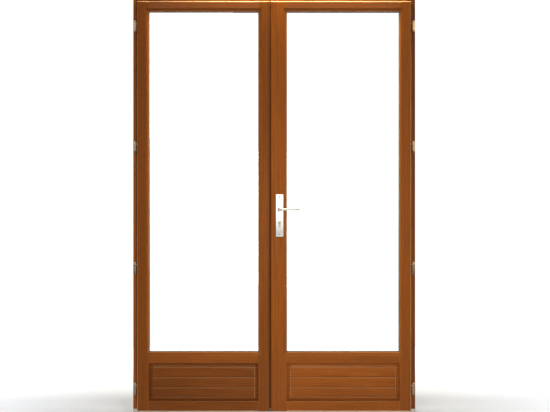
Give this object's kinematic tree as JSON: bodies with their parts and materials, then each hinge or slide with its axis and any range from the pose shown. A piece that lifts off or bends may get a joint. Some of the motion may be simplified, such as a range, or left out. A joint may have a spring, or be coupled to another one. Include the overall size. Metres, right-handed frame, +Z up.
{
  "type": "french doors",
  "caption": "Inward-opening wooden french doors in their frame: glazed leaves over raised panels, with a lever-driven lock, hinges and a metal threshold.",
  "frame": {"origin": "centre of the threshold's underside, at the mid depth of the jambs", "axes": "+Z up; +X to the right seen from the room; -Y into the room, the side the leaves open to; +Y outdoors"},
  "size_m": [1.48, 0.162, 2.18],
  "materials": {
    "frame_wood": "brown stain, satin, vertical grain",
    "leaf_wood": "brown stain, satin, grain along each piece",
    "panel_wood": "brown stain, satin, grain across the leaf",
    "bead_wood": "brown stain, satin",
    "glass": "clear float glass",
    "spacer_bar": "dark anodised",
    "black_rubber": "matt",
    "plastic_block": "matt",
    "threshold_aluminium": "mill finish",
    "hinge_bronze": "bronze plated, glossy domes",
    "lock_steel": "zinc plated",
    "handle_aluminium": "silver anodised, satin",
    "cylinder_nickel": "nickel plated"
  },
  "bodies": {
    "frame": {"frame_left_jamb": "frame_wood", "frame_right_jamb": "frame_wood", "frame_head": "frame_wood", "threshold": "threshold_aluminium", "frame_seal": "black_rubber", "frame_keeps": "lock_steel", "left_hinge_pins": "hinge_bronze", "right_hinge_pins": "hinge_bronze"},
    "left_leaf": {"left_hinge_stile": "leaf_wood", "left_meeting_stile": "leaf_wood", "left_top_rail": "leaf_wood", "left_mid_rail": "leaf_wood", "left_bottom_rail": "leaf_wood", "left_panel": "panel_wood", "left_top_bead": "bead_wood", "left_bottom_bead": "bead_wood", "left_side_beads": "bead_wood", "left_inner_pane": "glass", "left_outer_pane": "glass", "left_spacer": "spacer_bar", "left_glazing_tapes": "black_rubber", "left_setting_blocks": "plastic_block", "left_drip_bar": "leaf_wood", "left_cover_strip": "leaf_wood", "left_strike_plate": "lock_steel", "left_bolt_plates": "lock_steel", "left_hinge_cups": "hinge_bronze"},
    "right_leaf": {"right_hinge_stile": "leaf_wood", "right_meeting_stile": "leaf_wood", "right_top_rail": "leaf_wood", "right_mid_rail": "leaf_wood", "right_bottom_rail": "leaf_wood", "right_panel": "panel_wood", "right_top_bead": "bead_wood", "right_bottom_bead": "bead_wood", "right_side_beads": "bead_wood", "right_inner_pane": "glass", "right_outer_pane": "glass", "right_spacer": "spacer_bar", "right_glazing_tapes": "black_rubber", "right_setting_blocks": "plastic_block", "right_drip_bar": "leaf_wood", "right_hinge_cups": "hinge_bronze", "lock_case": "lock_steel", "lock_faceplate": "lock_steel", "cylinder_body": "cylinder_nickel", "inside_plate": "handle_aluminium", "outside_plate": "handle_aluminium", "plate_screws": "lock_steel"},
    "lever": {"inside_lever": "handle_aluminium", "outside_lever": "handle_aluminium", "spindle": "lock_steel", "lock_pinion": "lock_steel"},
    "upper_rod": {"upper_rod": "lock_steel"},
    "lower_rod": {"lower_rod": "lock_steel"},
    "deadbolt": {"deadbolt": "lock_steel"},
    "key_plug": {"key_plug": "cylinder_nickel"},
    "top_bolt": {"left_top_bolt": "lock_steel"},
    "bottom_bolt": {"left_bottom_bolt": "lock_steel"}
  },
  "joints": [
    {"name": "right_leaf_swing", "type": "hinge", "parent": "frame", "child": "right_leaf", "pos_m": [0.728, -0.038, 1.084], "axis": [0, 0, 1], "range_deg": [0, 160]},
    {"name": "left_leaf_swing", "type": "hinge", "parent": "frame", "child": "left_leaf", "pos_m": [-0.728, -0.038, 1.084], "axis": [0, 0, -1], "range_deg": [0, 144]},
    {"name": "lever_turn", "type": "hinge", "parent": "right_leaf", "child": "lever", "pos_m": [0.028, 0, 1.067], "axis": [0, 1, 0], "range_deg": [0, 90]},
    {"name": "upper_rod_slide", "type": "slide", "parent": "right_leaf", "child": "upper_rod", "axis": [0, 0, 1], "range_m": [0, 0.01885]},
    {"name": "lower_rod_slide", "type": "slide", "parent": "right_leaf", "child": "lower_rod", "axis": [0, 0, -1], "range_m": [0, 0.01885]},
    {"name": "key_turn", "type": "hinge", "parent": "right_leaf", "child": "key_plug", "pos_m": [0.028, 0, 0.997], "axis": [0, 1, 0], "range_deg": [0, 360]},
    {"name": "deadbolt_slide", "type": "slide", "parent": "right_leaf", "child": "deadbolt", "axis": [-1, 0, 0], "range_m": [0, 0.016]},
    {"name": "top_bolt_slide", "type": "slide", "parent": "left_leaf", "child": "top_bolt", "axis": [0, 0, 1], "range_m": [0, 0.018]},
    {"name": "bottom_bolt_slide", "type": "slide", "parent": "left_leaf", "child": "bottom_bolt", "axis": [0, 0, -1], "range_m": [0, 0.018]}
  ],
  "couplings": [
    {"joint": "left_leaf_swing", "follows": "right_leaf_swing", "ratio": 0.9},
    {"joint": "upper_rod_slide", "follows": "lever_turn", "m_per_rad": 0.012},
    {"joint": "lower_rod_slide", "follows": "lever_turn", "m_per_rad": 0.012},
    {"joint": "deadbolt_slide", "follows": "key_turn", "m_per_rad": 0.0025464}
  ]
}
